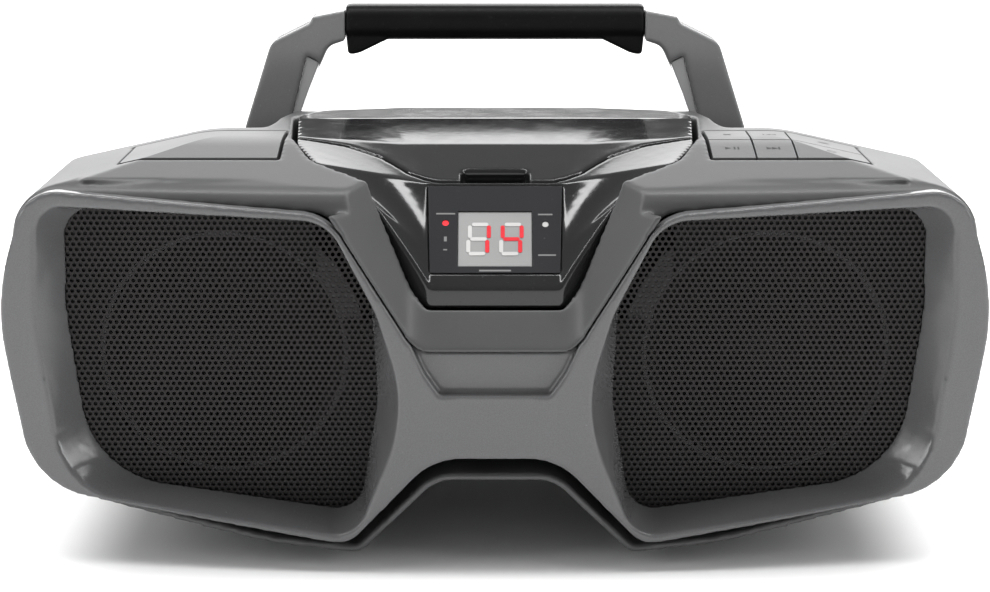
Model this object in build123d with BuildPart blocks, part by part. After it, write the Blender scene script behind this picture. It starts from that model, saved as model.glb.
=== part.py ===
from build123d import *
from math import atan2, degrees, hypot
import os

os.makedirs("parts", exist_ok=True)

# A portable disc player with two speakers and a folding carrying handle.
# X runs to the right, Y runs to the back and Z runs up. The feet stand on z = 0.
# Most places are given by how far they lie behind the front, in millimetres.

# Driving sizes of the case
case_width = 310.0
case_depth = 229.0
case_top = 131.0
case_bottom = 4.5
wall = 2.5
parting_height = 66.0
shoulder_fall = 0.16
fall_start = 78.0
crest_half_width = 75.0
foot_height = 4.0
fit_gap = 0.3

# Front bezel and the dishes of the two speaker openings
bezel_sweep = 14.0
bezel_thickness = 6.0
skirt_floor = 112.0
skirt_lip = 6.5
lip_floor = 118.0
lip_half_width = 134.0
dish_depth = 22.0
dish_wall = 2.6
rim_inset = 1.0
arch_height = 29.0
bezel_arch_height = 38.0

# Bib that the upper case sends down between the speakers
bib_tip_height = 71.8
bib_half_width = 24.8
bib_flare = (26.7, 43.5)
bib_slope = 1.45

# Roll of the upper case down to the bezel: height, and how far behind the bezel
roll_steps = ((112, 0), (118, 0.8), (120.5, 2.4), (122, 5), (123.4, 10))

# Loudspeakers
speaker_x = 87.0
speaker_z = 66.0
speaker_radius = 46.0
cone_radius = 38.0
speaker_length = 24.0
magnet_radius = 30.0
magnet_length = 15.0
grille_thickness = 1.2
baffle_thickness = 3.0

# Disc deck
disc_radius = 60.0
disc_back = 112.0
disc_height = 112.0
well_radius = disc_radius + 2.5
deck_radius = 71.0
deck_gap = 1.7
seam_gap = 1.4
flange_top = 115.5
door_travel_gap = 3.6
hinge_pin_radius = 1.5
hinge_back = 178.5
hinge_height = 118.8
hinge_half_width = 34.0
running_gap = 0.06

# Display
display_foot_back = 14.0
display_foot_height = 94.0
display_head_back = 38.0
display_head_height = 119.2
display_half_width = 20.6
lens_thickness = 2.0
digit_height = 10.9
digit_width = 6.0
digit_pitch = 10.4
segment_width = 1.3

# Handle
pivot_back = 174.0
pivot_height = 110.0
handle_depth = 17.0
grip_depth = 16.0
grip_top = 163.6
grip_floor = 150.6
pivot_pin_radius = 3.0
slot_inner = 56.5
slot_outer = 96.5
slot_front = 161.0
ledge_front = 207.5
ledge_height = 97.0
handle_foot_radius = 9.0

# Keys and side controls
key_gap = 1.1
key_inset = 0.3
key_columns = (69.6, 83.9, 97.0, 120.6)
key_rows = (37.1, 54.0, 70.9)
key_travel = 1.5
key_foot = 116.0
wheel_radius = 14.0
wheel_thickness = 5.0
wheel_back = 95.0
wheel_height = 70.0

# Screws and their posts
boss_radius = 5.0
screw_radius = 1.5
screw_head_radius = 3.0
screw_seat = 30.0
boss_places = [(-112, 84), (112, 84), (-103, 190), (103, 190)]

# Openings in the rear
bay_half_width = 77.0
bay_front = 172.0
bay_low = 33.5
bay_high = 61.5
inlet_x = 100.0
inlet_z = 40.0
inlet_width = 22.0
inlet_height = 16.0
jack_x = 100.0
jack_radius = 4.5

# Disc drive
well_floor = 104.0
platter_radius = 13.5
shaft_radius = 1.0
chassis_floor = 98.5
rail_radius = 1.2
rail_offset = 17.0
rail_height = 101.0
rail_start = 16.5
rail_end = 70.0
sled_start = 20.0
sled_length = 15.0
sled_slot = 10.0
damper_offset = 23.2
damper_radius = 2.6

# Door hinge and finger notch
knuckle_x = 20.0
knuckle_length = 8.0
knuckle_radius = 2.7
ear_thickness = 2.6
notch_back = 47.5
notch_half_width = 11.0

# Display module
module_width = 23.4
module_height = 20.4
module_foot = 3.4
module_depth = 8.0
digit_lean = 0.09
board_thickness = 1.6
lamp_radius = 1.0
lamp_places = ((-15.7, 19.5), (16.0, 19.0))

# Loudspeaker voice coil, key board, boards and feet
voice_coil_radius = 11.0
board_top = 108.6
switch_top = 111.6
board_lip = 5.0
board_floor = 30.0
board_left, board_right = -118.0, -58.0
board_front, board_rear = 91.0, 172.0
post_radius = 2.0
post_inset = 4.0
foot_radius = 7.0
foot_places = [(-62, 45), (62, 45), (-62, 196), (62, 196)]
grip_half = 56.0
bar_size = 7.0
pocket_depth = 4.0
pocket_outline = [(26.6, bib_tip_height + 4), (21.8, 65.4), (17.1, 58.6)]
wheel_x = 139.5

half_width = case_width / 2
front_y = -case_depth / 2


def y_at(back):
    """Y of a place that lies this far behind the front."""
    return front_y + back


def upright(back):
    """Plane that faces forward, this far behind the front."""
    return Plane.XZ.offset(-y_at(back))


def both_sides(points):
    """Points of the right half, followed by their mirror images."""
    return list(points) + [(-x, z) for x, z in reversed(points)]


def side_points(points):
    """Turns (back, height) pairs into points of a side view."""
    return [(y_at(back), z) for back, z in points]


def save(piece, name):
    """Labels a finished piece and writes it to its own file."""
    piece.part.label = name
    export_step(piece.part, f"parts/{name}.step")


# Outline of the case from the front: top edge, shoulder, flank, lower corner, lobe and arch
case_outline = [
    (half_width - 59, case_top),
    (half_width - 5, case_top - 12),
    (half_width + 0.9, 80),
    (half_width - 9, case_bottom + 19.5),
    (72, case_bottom + 2.7),
    (43, case_bottom),
    (18.5, arch_height),
]
case_radii = (50, 17, 125, 24, 100, 6, 12)

# Outline of the bezel from the front, starting at the notch it leaves for the bib
bezel_outline = [
    (bib_half_width, bib_tip_height),
    (bib_half_width + bib_flare[0], bib_tip_height + bib_flare[1]),
    (half_width - 9, 121.8),
    (half_width + 2.5, 84),
    (half_width - 7.5, 25.5),
    (46.5, 9.2),
    (19.5, bezel_arch_height),
]
bezel_radii = (10, 16, 14, 70, 24, 10, 22)

# Shoulders that fall away to the rear, beside a deck that stays high
shoulder_rise = shoulder_fall * (fall_start + 20)
shoulder_outline = [
    (crest_half_width, 2 * case_top),
    (crest_half_width, case_top + shoulder_rise),
    (half_width - 59, case_top + shoulder_rise),
    (half_width - 5, case_top - 12 + shoulder_rise),
    (half_width + 60, case_top - 60 + shoulder_rise),
    (half_width + 60, -case_top),
]
shoulder_radii = (1, 4, 50, 30, 10, 1)
side_outline = [
    (0, 0),
    (0, case_top - 11.8),
    (54, case_top),
    (100, case_top),
    (160, case_top - 6),
    (case_depth, case_top - 19),
    (case_depth, 0),
]
side_radii = (0.01, 4, 60, 80, 80, 14, 0.01)
plan_outline = [
    (half_width + 8, y_at(-5)),
    (half_width + 4, y_at(40)),
    (half_width - 25, y_at(case_depth)),
]
plan_radii = (0.01, 100, 28)


# Rim of one speaker opening where it meets the front plane, and the edge of its grille
dish_rim = [(51.8, 113.7), (154, 119.5), (156.5, 82), (147, 24), (44, 11.5), (26.5, 54), (36.5, 84)]
dish_rim_radii = (14, 12, 60, 20, 11, 50, 40)
grille_edge = [(47, 109), (135, 114.5), (135.6, 80), (129, 27), (44, 14.2), (37.8, 52), (39.5, 84)]
grille_edge_radii = (15, 9, 80, 30, 9, 50, 30)

# Deck surface: distance behind the front, crease (x, z), edge (x, z)
deck_sections = [
    (6, 20, 85.6, 21.5, 86),
    (12, 20.2, 91.9, 29, 102),
    (20, 20.9, 100.3, 42, 119.5),
    (38, 22, 119.2, 62, 126.5),
    (66, 29, 127.3, 74, 130),
    (100, 34, case_top, 78, 130.8),
    (140, 34, 129, 78, 127.5),
    (190, 34, 122.5, 74, 119.5),
]
door_seam = [(76, 68), (49, 60.5), (37, 53), (27.5, 42.5), (18, 38.2)]


def flank_x(back):
    """Half width of the case this far behind the front."""
    near_x, near_y = plan_outline[1]
    far_x, far_y = plan_outline[2]
    return near_x + (far_x - near_x) * (y_at(back) - near_y) / (far_y - near_y)


def case_block(outline, radii, inset):
    """Solid of the case, every face moved inwards by the inset."""
    with BuildPart() as block:
        with BuildSketch(upright(0)):
            with BuildLine():
                FilletPolyline(*both_sides(outline), radius=radii + radii[::-1], close=True)
            make_face()
            offset(amount=-inset)
        extrude(amount=-case_depth)
        with BuildSketch(Plane.YZ):
            with BuildLine():
                FilletPolyline(*side_points(side_outline), radius=side_radii, close=True)
            make_face()
            offset(amount=-inset)
        extrude(amount=case_width, both=True, mode=Mode.INTERSECT)
        with BuildSketch(Plane.XY):
            with BuildLine():
                FilletPolyline(*both_sides(plan_outline), radius=plan_radii + plan_radii[::-1], close=True)
            make_face()
            offset(amount=-inset)
        extrude(amount=2 * case_top, mode=Mode.INTERSECT)
        with BuildSketch(upright(-20)):
            with BuildLine():
                FilletPolyline(
                    *both_sides(shoulder_outline),
                    radius=shoulder_radii + shoulder_radii[::-1],
                    close=True,
                )
            make_face()
            offset(amount=-inset)
        extrude(amount=case_depth + 80, dir=(0, 1, -shoulder_fall), mode=Mode.INTERSECT)
    return block.part


def swept_front(near, far):
    """Region between two bowed walls, each given by how far it lies behind the front at the middle."""
    edge = half_width + 20
    bow = bezel_sweep * (edge / half_width) ** 2
    with BuildPart() as region:
        with BuildSketch(Plane.XY):
            with BuildLine():
                ThreePointArc((-edge, y_at(near + bow)), (0, y_at(near)), (edge, y_at(near + bow)))
                Line((edge, y_at(near + bow)), (edge, y_at(far + bow)))
                ThreePointArc((edge, y_at(far + bow)), (0, y_at(far)), (-edge, y_at(far + bow)))
                Line((-edge, y_at(far + bow)), (-edge, y_at(near + bow)))
            make_face()
        extrude(amount=2 * case_top)
    return region.part


def front_roll():
    """Region that rounds the top of the upper case down to the bezel, following the bow of the front."""
    edge = half_width + 20
    bow = bezel_sweep * (edge / half_width) ** 2
    with BuildPart() as region:
        for level, step in roll_steps:
            far = bezel_thickness + step
            with BuildSketch(Plane.XY.offset(level)):
                with BuildLine():
                    ThreePointArc((-edge, y_at(far + bow)), (0, y_at(far)), (edge, y_at(far + bow)))
                    Polyline((edge, y_at(far + bow)), (edge, y_at(-10)), (-edge, y_at(-10)),
                             (-edge, y_at(far + bow)))
                make_face()
        loft(ruled=True)
    return region.part


def bib_notch(drop):
    """Sloping notch over the bib, lowered by the drop."""
    with BuildPart() as notch:
        with BuildSketch(upright(-20)):
            foot = bib_tip_height - drop - 20 * bib_slope
            with BuildLine():
                FilletPolyline(
                    (bib_half_width, foot),
                    (bib_half_width + 2 * bib_flare[0], foot + 2 * bib_flare[1]),
                    (-bib_half_width - 2 * bib_flare[0], foot + 2 * bib_flare[1]),
                    (-bib_half_width, foot),
                    radius=(10, 1, 1, 10),
                    close=True,
                )
            make_face()
        extrude(amount=90, dir=(0, 1, bib_slope))
    return notch.part


deck_front = [(-deck_radius, disc_back), (-67, 58), (-59, 36), (-39, 18), (-21, 9)]


def deck_region(inset, low, high, rear=0.0):
    """Column over the disc deck, its outline moved inwards by the inset."""
    points = [(x, y_at(back)) for x, back in deck_front]
    points += [(-x, y) for x, y in reversed(points)]
    with BuildPart() as column:
        with BuildSketch(Plane.XY.offset(low)):
            with BuildLine():
                FilletPolyline(*points, radius=(30, 16, 16, 5, 5, 16, 16, 30))
                ThreePointArc(points[-1], (0, y_at(disc_back + deck_radius)), points[0])
            make_face()
            offset(amount=-inset)
            with Locations((0, y_at(hinge_back - 6))):
                Rectangle(2 * (hinge_half_width - inset), 2 * (9.5 + rear - inset))
        extrude(amount=high - low)
    return column.part


def box_between(x0, x1, back0, back1, z0, z1):
    """Block between two corners, kept out of the part in work."""
    return Box(
        x1 - x0,
        back1 - back0,
        z1 - z0,
        align=(Align.MIN, Align.MIN, Align.MIN),
        mode=Mode.PRIVATE,
    ).moved(Location((x0, y_at(back0), z0)))


def handle_channel(margin):
    """Channel that takes the folded handle, grown by the margin."""
    top = case_top + 10
    low = ledge_height - margin
    with BuildPart() as channel:
        for side in (-1, 1):
            inner, outer = sorted((side * (slot_inner - margin), side * (slot_outer + margin)))
            add(box_between(inner, outer, slot_front - margin, case_depth + 5, low, top))
        add(box_between(-slot_outer, slot_outer, ledge_front - margin, case_depth + 5, low, top))
    return channel.part


key_bay = (key_columns[0] - key_gap / 2, key_columns[-1] + key_gap / 2)
key_bay_rows = (key_rows[0] - key_gap / 2, key_rows[-1] + key_gap / 2)
key_board_edge = (key_bay[0], key_bay[1] - 3)
key_post_places = [
    (x, back)
    for x in (key_board_edge[0] + post_inset, key_board_edge[1] - post_inset)
    for back in (key_bay_rows[0] - board_lip / 2, key_bay_rows[1] + board_lip / 2)
]
board_post_places = [
    (x, back)
    for x in (board_left + post_inset, board_right - post_inset)
    for back in (board_front + post_inset, board_rear - post_inset)
]

def dish_profile(points, radii, margin, back):
    """Outline of one speaker opening at a distance behind the front, grown by the margin."""
    with BuildSketch(upright(back)) as profile:
        with BuildLine():
            FilletPolyline(*points, radius=radii, close=True)
        make_face()
        if margin:
            offset(amount=margin)
    return profile.sketch


def dish(margin):
    """Tapered space of one speaker opening, its wall moved outwards by the margin."""
    with BuildPart() as space:
        add(dish_profile(dish_rim, dish_rim_radii, margin, 0))
        add(dish_profile(grille_edge, grille_edge_radii, margin, dish_depth))
        loft(ruled=True)
    return space.part


case_skin = case_block(case_outline, case_radii, 0)
bezel_skin = case_block(bezel_outline, bezel_radii, 0)
with BuildPart() as hollow:
    add(case_block(case_outline, case_radii, wall))
    add(bib_notch(wall * 2), mode=Mode.SUBTRACT)
    add(handle_channel(wall), mode=Mode.SUBTRACT)
case_hollow = hollow.part
front_region = swept_front(-40, bezel_thickness) + front_roll()
funnel_space = dish(dish_wall + fit_gap)
skirt = case_skin & swept_front(bezel_thickness, bezel_thickness + wall)
skirt = skirt & box_between(-case_width, case_width, -20, case_depth, skirt_floor, 2 * case_top)
lip = case_skin & swept_front(bezel_thickness, bezel_thickness + skirt_lip)
lip_room = box_between(-lip_half_width, lip_half_width, -20, case_depth, lip_floor, 2 * case_top)
skirt = skirt + (lip & lip_room)
skirt = skirt - funnel_space - mirror(funnel_space, about=Plane.YZ)
with BuildPart() as bib:
    with BuildSketch(upright(0)):
        with BuildLine():
            Polyline(*both_sides([(bib_half_width + bib_flare[0], bib_tip_height + bib_flare[1]),
                                  (bib_half_width + 1, bib_tip_height - 1)]), close=True)
        make_face()
    extrude(amount=-bezel_thickness - 2)
    with BuildSketch(upright(-10)):
        with BuildLine():
            FilletPolyline(*both_sides(bezel_outline), radius=bezel_radii + bezel_radii[::-1], close=True)
        make_face()
        offset(amount=fit_gap)
    extrude(amount=-50, mode=Mode.SUBTRACT)
    add(swept_front(-40, 0), mode=Mode.SUBTRACT)
bib_room = bib.part

# Upper case, with the bib, the deck opening, the key bays and the handle channel
with BuildPart() as upper_housing:
    add(case_skin)
    add(case_hollow, mode=Mode.SUBTRACT)
    add(skirt)
    add(front_region - bib_room, mode=Mode.SUBTRACT)
    add(bib_notch(0), mode=Mode.SUBTRACT)
    add(box_between(-200, 200, -20, case_depth + 20, -20, parting_height), mode=Mode.SUBTRACT)
    for x, back in boss_places:
        with Locations((x, y_at(back), parting_height)):
            Cylinder(boss_radius, case_top, align=(Align.CENTER, Align.CENTER, Align.MIN))
    for x, back in key_post_places:
        with Locations((x, y_at(back), board_top)):
            Cylinder(post_radius, case_top - board_top, align=(Align.CENTER, Align.CENTER, Align.MIN))
    add(case_skin, mode=Mode.INTERSECT)
    add(handle_channel(0), mode=Mode.SUBTRACT)
    add((deck_region(-wall, flange_top, case_top + 5, door_travel_gap) & case_skin) - bib_notch(0))
    add(deck_region(0, flange_top - 60, case_top + 20, door_travel_gap), mode=Mode.SUBTRACT)
    for side in (-1, 1):
        left, right = sorted((side * key_bay[0], side * key_bay[1]))
        add(box_between(left, right, *key_bay_rows, key_foot - 20, case_top + 10), mode=Mode.SUBTRACT)
        with BuildSketch(Plane.YZ.offset(side * (slot_inner + slot_outer) / 2)):
            with Locations((y_at(pivot_back), pivot_height)):
                Circle(pivot_pin_radius + running_gap)
        extrude(amount=(slot_outer - slot_inner) / 2 + wall + fit_gap, both=True, mode=Mode.SUBTRACT)
        with Locations((side * wheel_x, y_at(wheel_back), wheel_height)):
            Box(2 * wheel_radius, 2 * wheel_radius + 2, wheel_thickness + 1, mode=Mode.SUBTRACT)
    for x, back in boss_places:
        with Locations((x, y_at(back), parting_height)):
            Cylinder(screw_radius + 0.05, 24, mode=Mode.SUBTRACT)
save(upper_housing, "upper_housing")

# Lower case with its tunnel, screw posts and rear openings
with BuildPart() as lower_housing:
    add(case_skin)
    add(case_block(case_outline, case_radii, wall), mode=Mode.SUBTRACT)
    add(front_region, mode=Mode.SUBTRACT)
    for x, back in boss_places:
        with Locations((x, y_at(back), 0)):
            Cylinder(boss_radius, case_top, align=(Align.CENTER, Align.CENTER, Align.MIN))
    for x, back in board_post_places:
        with Locations((x, y_at(back), 0)):
            Cylinder(post_radius, board_floor - board_thickness, align=(Align.CENTER, Align.CENTER, Align.MIN))
    add(case_skin, mode=Mode.INTERSECT)
    add(box_between(-200, 200, -20, case_depth + 20, parting_height, 2 * case_top), mode=Mode.SUBTRACT)
    for x, back in boss_places:
        with Locations((x, y_at(back), 0)):
            Cylinder(screw_head_radius + fit_gap, 2 * screw_seat, mode=Mode.SUBTRACT)
            Cylinder(screw_radius + 0.05, 3 * parting_height, mode=Mode.SUBTRACT)
    add(box_between(-bay_half_width, bay_half_width, case_depth - 6, case_depth + 6, bay_low, bay_high),
        mode=Mode.SUBTRACT)
    inlet_gap = fit_gap / 2
    add(box_between(-inlet_x - inlet_width / 2 - inlet_gap, -inlet_x + inlet_width / 2 + inlet_gap,
                    case_depth - 6, case_depth + 6, inlet_z - inlet_height / 2 - inlet_gap,
                    inlet_z + inlet_height / 2 + inlet_gap), mode=Mode.SUBTRACT)
    with BuildSketch(upright(case_depth - 6)):
        with Locations((jack_x, inlet_z)):
            Circle(jack_radius + fit_gap / 2)
    extrude(amount=-12, mode=Mode.SUBTRACT)
save(lower_housing, "lower_housing")


# Front bezel: a bowed mask with two dished speaker openings
right_funnel = (dish(dish_wall) & case_block(case_outline, case_radii, wall + fit_gap)) - swept_front(-40, 1)
right_funnel = right_funnel & case_block(bezel_outline, bezel_radii, rim_inset)
right_dish = dish(0) + extrude(dish_profile(dish_rim, dish_rim_radii, 0, 0), amount=20)
with BuildPart() as front_bezel:
    add(bezel_skin)
    add(swept_front(0, bezel_thickness), mode=Mode.INTERSECT)
    add(right_funnel)
    add(mirror(right_funnel, about=Plane.YZ))
    add(right_dish, mode=Mode.SUBTRACT)
    add(mirror(right_dish, about=Plane.YZ), mode=Mode.SUBTRACT)
    with BuildSketch(upright(-1)):
        with BuildLine():
            Polyline(*both_sides(pocket_outline), close=True)
        make_face()
    extrude(amount=-pocket_depth - 1, mode=Mode.SUBTRACT)
save(front_bezel, "front_bezel")

# Baffle that carries the loudspeakers, behind the grilles
baffle_back = dish_depth + grille_thickness + fit_gap
with BuildPart() as speaker_baffle:
    add(case_block(case_outline, case_radii, wall + fit_gap))
    slab = box_between(-200, 200, baffle_back, baffle_back + baffle_thickness, 0, 2 * case_top)
    add(slab, mode=Mode.INTERSECT)
    add(box_between(-57, 57, 0, 60, bib_tip_height + 5, 2 * case_top), mode=Mode.SUBTRACT)
    with BuildSketch(upright(baffle_back)):
        with Locations((-speaker_x, speaker_z), (speaker_x, speaker_z)):
            Circle(cone_radius + 2)
    extrude(amount=-baffle_thickness, mode=Mode.SUBTRACT)
save(speaker_baffle, "speaker_baffle")

frame_back = baffle_back + baffle_thickness
for side, name in ((-1, "left"), (1, "right")):
    with BuildPart() as speaker_grille:
        edge = dish_profile(grille_edge, grille_edge_radii, dish_wall, dish_depth)
        extrude(edge if side > 0 else mirror(edge, about=Plane.YZ), amount=grille_thickness, dir=(0, 1, 0))
    save(speaker_grille, f"speaker_grille_{name}")

    axis_plane = Plane(origin=(side * speaker_x, y_at(frame_back), speaker_z), x_dir=(1, 0, 0), z_dir=(0, 1, 0))
    profile_plane = Plane(origin=axis_plane.origin, x_dir=(1, 0, 0), z_dir=(0, 0, 1))
    spin = Axis(axis_plane.origin, (0, 1, 0))

    # Pressed frame with four windows
    with BuildPart() as speaker_frame:
        with BuildSketch(profile_plane):
            with BuildLine():
                Polyline(
                    (cone_radius + fit_gap, 0),
                    (speaker_radius, 0),
                    (speaker_radius, 2),
                    (cone_radius + 3, 2),
                    (magnet_radius - 6, speaker_length),
                    (voice_coil_radius + 2, speaker_length),
                    (voice_coil_radius + 2, speaker_length - 2),
                    (magnet_radius - 7, speaker_length - 2),
                    (cone_radius + fit_gap, 2),
                    close=True,
                )
            make_face()
        revolve(axis=spin)
        with BuildSketch(axis_plane.offset(6)):
            with PolarLocations(cone_radius - 4, 4, start_angle=45):
                Rectangle(14, 24)
        extrude(amount=speaker_length - 9, mode=Mode.SUBTRACT)
    save(speaker_frame, f"speaker_frame_{name}")

    # Paper cone with its roll surround and dust cap
    with BuildPart() as speaker_cone:
        with BuildSketch(profile_plane):
            with BuildLine():
                Polyline(
                    (0, 11),
                    (6, 11.6),
                    (voice_coil_radius, 14.4),
                    (cone_radius - 6, 2.2),
                    (cone_radius - 3, -0.4),
                    (cone_radius, 0.6),
                    (cone_radius, 1.4),
                    (cone_radius - 3, 0.4),
                    (cone_radius - 5.6, 3.2),
                    (voice_coil_radius, 16),
                    (voice_coil_radius, speaker_length - 1),
                    (voice_coil_radius - 1, speaker_length - 1),
                    (voice_coil_radius - 1, 15.4),
                    (6, 12.6),
                    (0, 12),
                    close=True,
                )
            make_face()
        revolve(axis=spin)
    save(speaker_cone, f"speaker_cone_{name}")

    # Ring magnet between its two plates
    with BuildPart() as speaker_magnet:
        with BuildSketch(axis_plane.offset(speaker_length)):
            Circle(magnet_radius - 3)
        extrude(amount=magnet_length)
        with BuildSketch(axis_plane.offset(speaker_length + 2.5)):
            Circle(magnet_radius)
        extrude(amount=magnet_length - 5)
        with BuildSketch(axis_plane.offset(speaker_length)):
            Circle(voice_coil_radius + 0.5)
        extrude(amount=6, mode=Mode.SUBTRACT)
    save(speaker_magnet, f"speaker_magnet_{name}")


def deck_block():
    """Solid under the faceted deck surface that the trim and the door share."""
    with BuildPart() as block:
        for back, crease_x, crease_z, edge_x, edge_z in deck_sections:
            with BuildSketch(upright(back)):
                with BuildLine():
                    Polyline(*both_sides([(crease_x, crease_z), (edge_x, edge_z), (edge_x, 70)]), close=True)
                make_face()
        loft(ruled=True)
    return block.part


def behind_seam(gap):
    """Region behind the front seam of the door."""
    points = [(x, y_at(back + gap)) for x, back in door_seam]
    with BuildPart() as region:
        with BuildSketch(Plane.XY):
            with BuildLine():
                FilletPolyline(*both_sides(points)[::-1], radius=(8, 8, 5, 3, 3, 5, 8, 8))
                Polyline(points[0], (points[0][0], y_at(case_depth)), (-points[0][0], y_at(case_depth)),
                         (-points[0][0], points[0][1]))
            make_face()
        extrude(amount=2 * case_top)
    return region.part


def side_prism(points, half_span):
    """Column along X with the given side outline."""
    with BuildPart() as prism:
        with BuildSketch(Plane.YZ):
            with BuildLine():
                Polyline(*side_points(points), close=True)
            make_face()
        extrude(amount=half_span, both=True)
    return prism.part


deck_solid = deck_block()
display_length = hypot(display_head_back - display_foot_back, display_head_height - display_foot_height)
display_tilt = degrees(
    atan2(display_head_height - display_foot_height, display_head_back - display_foot_back)
)
display_plane = Plane(
    origin=(0, y_at(display_foot_back), display_foot_height),
    x_dir=(1, 0, 0),
    z_dir=Vector(0, -1, 0).rotate(Axis.X, -(90 - display_tilt)),
)


# Glossy trim around the display, with its two turned wings
panel_corners = [(21.6, display_length - 1.2), (display_half_width, 0.8)]
with BuildPart() as deck_trim:
    add(deck_solid)
    add(deck_region(deck_gap, 60, case_top + 20), mode=Mode.INTERSECT)
    add(behind_seam(0), mode=Mode.SUBTRACT)
    under = [(0, 40), (0, 84), (12, 84), (40, 108), (41, flange_top), (80, flange_top), (80, 40)]
    add(side_prism(under, 100), mode=Mode.SUBTRACT)
    ceiling = [(12, 60), (12, 88.5), (display_head_back, 115.9), (70, 125), (70, 60)]
    room = side_prism(ceiling, 100) & deck_region(deck_gap + 2.4, 60, case_top + 20)
    add(room, mode=Mode.SUBTRACT)
    grille_room = dish_profile(grille_edge, grille_edge_radii, dish_wall + fit_gap, dish_depth)
    funnel_room = funnel_space + extrude(grille_room, amount=2 * grille_thickness, dir=(0, 1, 0))
    add(funnel_room, mode=Mode.SUBTRACT)
    add(mirror(funnel_room, about=Plane.YZ), mode=Mode.SUBTRACT)
    with BuildSketch(display_plane):
        with BuildLine():
            Polyline(*both_sides(panel_corners), close=True)
        make_face()
    extrude(amount=-lens_thickness, mode=Mode.SUBTRACT)
    with BuildSketch(display_plane):
        with Locations((0, module_foot + module_height / 2)):
            Rectangle(module_width + 1, module_height + 1)
        with Locations(*lamp_places):
            Circle(lamp_radius + 0.2)
    extrude(amount=-12, mode=Mode.SUBTRACT)
save(deck_trim, "deck_trim")

# Smoked display panel with a window for the number display
with BuildPart() as display_panel:
    with BuildSketch(display_plane.offset(-lens_thickness)):
        with BuildLine():
            Polyline(*both_sides(panel_corners), close=True)
        make_face()
        offset(amount=-0.15)
        with Locations((0, module_foot + module_height / 2)):
            Rectangle(module_width + 0.3, module_height + 0.3, mode=Mode.SUBTRACT)
        with Locations(*lamp_places):
            Circle(lamp_radius + 0.1, mode=Mode.SUBTRACT)
    extrude(amount=lens_thickness)
save(display_panel, "display_panel")

# Two-digit number display
with BuildPart() as number_display:
    with BuildSketch(display_plane.offset(-module_depth)):
        with Locations((0, module_foot + module_height / 2)):
            Rectangle(module_width, module_height)
    extrude(amount=module_depth - 0.4)
save(number_display, "number_display")


def segment_outline(name):
    """Middle, length and direction of one bar of a digit, from the digit's middle."""
    half_w = digit_width / 2
    half_h = digit_height / 2
    bars = {
        "a": (0, half_h, 0),
        "b": (half_w, half_h / 2, 90),
        "c": (half_w, -half_h / 2, 90),
        "d": (0, -half_h, 0),
        "e": (-half_w, -half_h / 2, 90),
        "f": (-half_w, half_h / 2, 90),
        "g": (0, 0, 0),
    }
    return bars[name]


def segments(digits):
    """Raised bars of the digits; each digit is given as a text of bar letters."""
    with BuildPart() as bars:
        with BuildSketch(display_plane.offset(-0.4)):
            for index, letters in enumerate(digits):
                middle_x = (index - 0.5) * digit_pitch
                middle_v = module_foot + module_height / 2
                for letter in letters:
                    dx, dv, turn = segment_outline(letter)
                    length = (digit_width if turn == 0 else digit_height / 2) - segment_width * 0.6
                    lean = dv * digit_lean
                    with Locations(Location((middle_x + dx + lean, middle_v + dv, 0), (0, 0, turn))):
                        SlotOverall(length, segment_width)
        extrude(amount=0.15)
    return bars.part


with BuildPart() as lit_segments:
    add(segments(("bc", "bcfg")))
save(lit_segments, "lit_segments")

with BuildPart() as unlit_segments:
    add(segments(("adefg", "ade")))
save(unlit_segments, "unlit_segments")

with BuildPart() as status_lamps:
    with BuildSketch(display_plane.offset(-module_depth)):
        with Locations(*lamp_places):
            Circle(lamp_radius)
    extrude(amount=module_depth - 0.2)
save(status_lamps, "status_lamps")

with BuildPart() as display_board:
    with BuildSketch(display_plane.offset(-module_depth)):
        with Locations((0, module_foot + module_height / 2)):
            Rectangle(36, 24)
    extrude(amount=-board_thickness)
save(display_board, "display_board")

# Disc door with its hinge knuckles
with BuildPart() as cd_door:
    add(deck_solid)
    add(deck_region(deck_gap, 60, case_top + 20), mode=Mode.INTERSECT)
    add(behind_seam(seam_gap), mode=Mode.INTERSECT)
    add(box_between(-100, 100, 0, case_depth, 40, flange_top + 0.6), mode=Mode.SUBTRACT)
    door_room = [(44, 100), (44, 117.5), (66, 124), (100, 127.6), (140, 126.2), (176, 121.4), (176, 100)]
    with BuildPart(mode=Mode.PRIVATE) as door_hollow:
        add(side_prism(door_room, 62))
        with Locations((0, y_at(disc_back), disc_height)):
            Cylinder(well_radius + 0.8, 60, mode=Mode.INTERSECT)
    add(door_hollow.part, mode=Mode.SUBTRACT)
    add(box_between(-28, 28, hinge_back - 6, case_depth, 100, hinge_height + 3.2), mode=Mode.SUBTRACT)
    add(box_between(-100, 100, hinge_back, case_depth, 100, hinge_height - 1), mode=Mode.SUBTRACT)
    for side in (-1, 1):
        with BuildSketch(Plane.YZ.offset(side * knuckle_x)):
            with Locations((y_at(hinge_back), hinge_height)):
                Circle(knuckle_radius)
            with Locations((y_at(hinge_back), hinge_height + 2)):
                Rectangle(2 * knuckle_radius, 4)
            with Locations((y_at(hinge_back), hinge_height)):
                Circle(hinge_pin_radius + running_gap, mode=Mode.SUBTRACT)
        extrude(amount=knuckle_length / 2, both=True)
    with BuildSketch(Plane.XY.offset(100)):
        with Locations((0, y_at(notch_back / 2))):
            RectangleRounded(2 * notch_half_width, notch_back, 2.5)
    extrude(amount=60, mode=Mode.SUBTRACT)
save(cd_door, "cd_door")

with BuildPart() as door_hinge_pins:
    for side in (-1, 1):
        with BuildSketch(Plane.YZ.offset(side * knuckle_x)):
            with Locations((y_at(hinge_back), hinge_height)):
                Circle(hinge_pin_radius)
        extrude(amount=knuckle_length / 2 + 0.4 + ear_thickness, both=True)
save(door_hinge_pins, "door_hinge_pins")

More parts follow.
